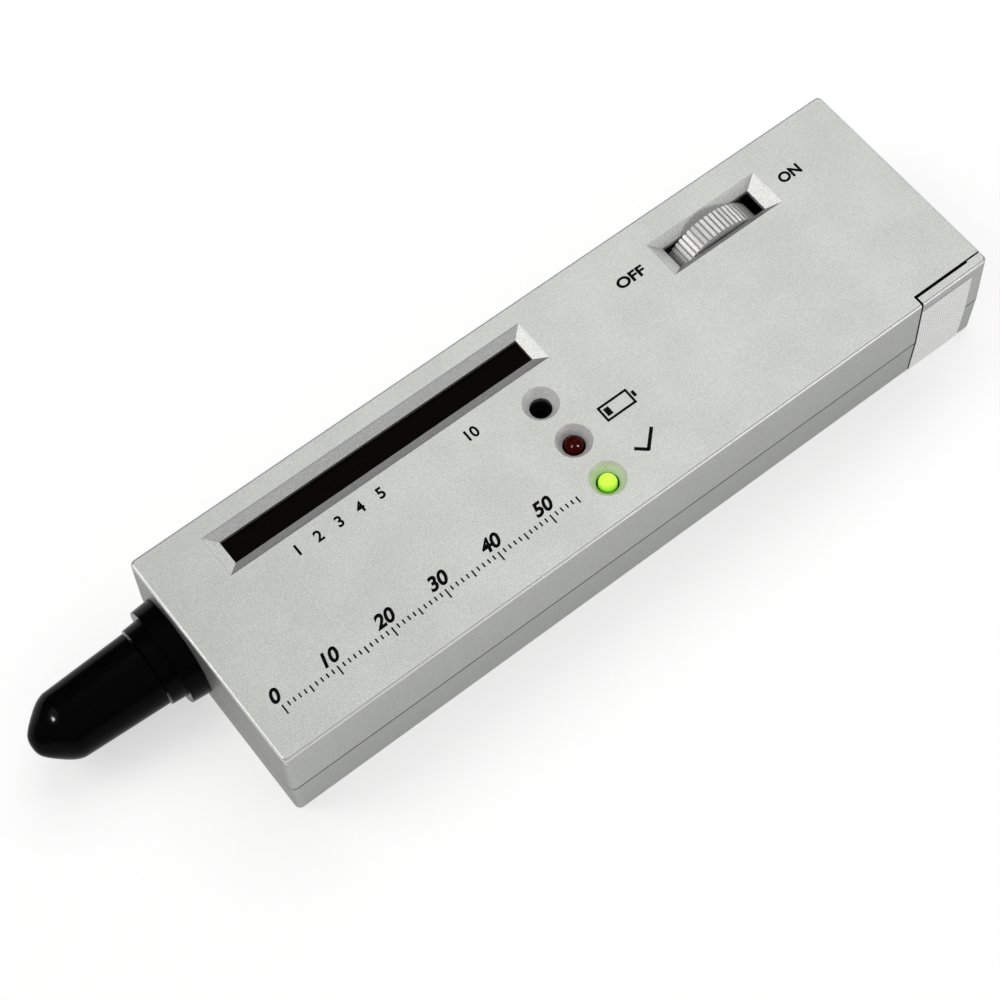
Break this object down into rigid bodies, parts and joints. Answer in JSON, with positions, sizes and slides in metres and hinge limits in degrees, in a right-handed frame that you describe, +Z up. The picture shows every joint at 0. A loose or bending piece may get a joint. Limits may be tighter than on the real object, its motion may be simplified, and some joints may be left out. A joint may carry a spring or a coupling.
{
  "type": "moissanite tester",
  "caption": "Slim hand-held stone tester: silver case with a smoked light-bar window, recessed lights, ribbed on/off thumbwheel, sliding battery door and a capped spring needle probe.",
  "frame": {"origin": "centre of the case's flat bottom face", "axes": "+X from the probe end to the battery-door end, +Y to the window side, +Z up out of the display face"},
  "size_m": [0.1655, 0.0416, 0.0211],
  "materials": {
    "silver_case": "satin silver paint with a fine grain",
    "black_gloss": "polished",
    "smoked_window": "polished",
    "black_holder": "moulded",
    "bar_light": "polished",
    "green_light": "polished, lit",
    "red_light": "polished, unlit",
    "board": "solder mask",
    "chip_body": "moulded",
    "tinned_metal": "tinned",
    "buzzer_body": "moulded",
    "capacitor_sleeve": "sleeve",
    "resistor_body": "lacquered",
    "trimmer_body": "moulded",
    "ferrite": "matt",
    "copper_winding": "enamelled",
    "plated_wheel": "bright silver plating",
    "steel": "zinc plated",
    "brass": "machined",
    "control_body": "moulded",
    "red_wire": "sheath",
    "black_wire": "sheath",
    "battery_jacket": "plain printed jacket",
    "snap_body": "soft moulding",
    "foam": "open foam",
    "touch_metal": "brushed",
    "probe_metal": "turned"
  },
  "bodies": {
    "case": {"top_shell": "silver_case", "bottom_shell": "silver_case", "display_window": "smoked_window", "bar_light_holder": "black_holder", "bar_lights": "bar_light", "ready_light": "green_light", "low_battery_light": "red_light", "light_legs": "tinned_metal", "circuit_board": "board", "board_screws": "steel", "case_screws": "steel", "buzzer": "buzzer_body", "controller_chip": "chip_body", "amplifier_chip": "chip_body", "chip_pins": "tinned_metal", "capacitors": "capacitor_sleeve", "transistors": "chip_body", "voltage_regulator": "chip_body", "coil_core": "ferrite", "coil_winding": "copper_winding", "trimmers": "trimmer_body", "resistors": "resistor_body", "wheel_control": "control_body", "control_lugs": "tinned_metal", "control_wires": "black_wire", "battery": "battery_jacket", "battery_studs": "tinned_metal", "battery_snap": "snap_body", "snap_contacts": "tinned_metal", "red_lead": "red_wire", "black_lead": "black_wire", "probe_bush": "black_gloss", "probe_cone": "black_gloss", "probe_tube": "probe_metal", "needle_spring": "steel", "tube_plug": "brass", "probe_wire": "red_wire", "touch_plate": "touch_metal", "touch_wire": "black_wire"},
    "cap": {"protective_cap": "black_gloss"},
    "wheel": {"thumbwheel": "plated_wheel", "wheel_shaft": "brass", "wheel_screw": "steel"},
    "door": {"battery_door": "silver_case", "battery_pad": "foam"},
    "needle": {"probe_needle": "probe_metal"}
  },
  "joints": [
    {"name": "cap_pull", "type": "slide", "parent": "case", "child": "cap", "axis": [-1, 0, 0], "range_m": [0, 0.03]},
    {"name": "wheel_turn", "type": "hinge", "parent": "case", "child": "wheel", "pos_m": [0.0393, 0.01192, 0.0116], "axis": [0, 1, 0], "range_deg": [-60, 200]},
    {"name": "door_slide", "type": "slide", "parent": "case", "child": "door", "axis": [1, 0, 0], "range_m": [0, 0.022]},
    {"name": "needle_press", "type": "slide", "parent": "case", "child": "needle", "axis": [1, 0, 0], "range_m": [0, 0.0015], "stiffness_N_per_m": 400, "springref_m": -0.001, "deforming": ["needle_spring"]}
  ]
}
